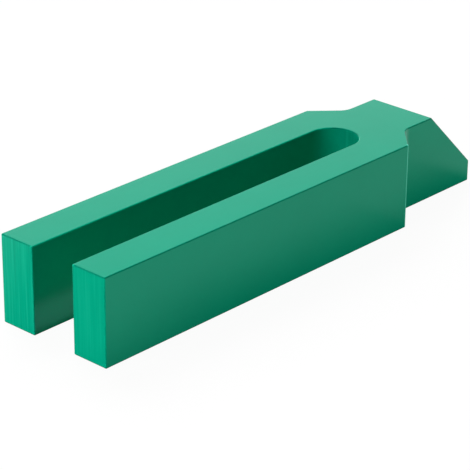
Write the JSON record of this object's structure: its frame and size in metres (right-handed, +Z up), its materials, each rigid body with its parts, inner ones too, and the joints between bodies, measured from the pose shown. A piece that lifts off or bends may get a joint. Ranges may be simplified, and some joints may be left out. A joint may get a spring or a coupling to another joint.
{
  "type": "forked clamp strap",
  "caption": "Flat steel clamping bar with a long slot open at the fork end for its bolt, and a narrow nose that slopes down to a blunt tip.",
  "frame": {"origin": "middle of the underside, at the centre of the bar's length and width", "axes": "+X along the bar to the nose, +Z up out of the face that the nut's washer bears on"},
  "size_m": [0.125, 0.03, 0.02],
  "materials": {
    "paint": "semi-gloss green enamel over milled steel, faint saw marks on the fork ends"
  },
  "bodies": {
    "root": {"clamp_strap": "paint"}
  },
  "joints": []
}
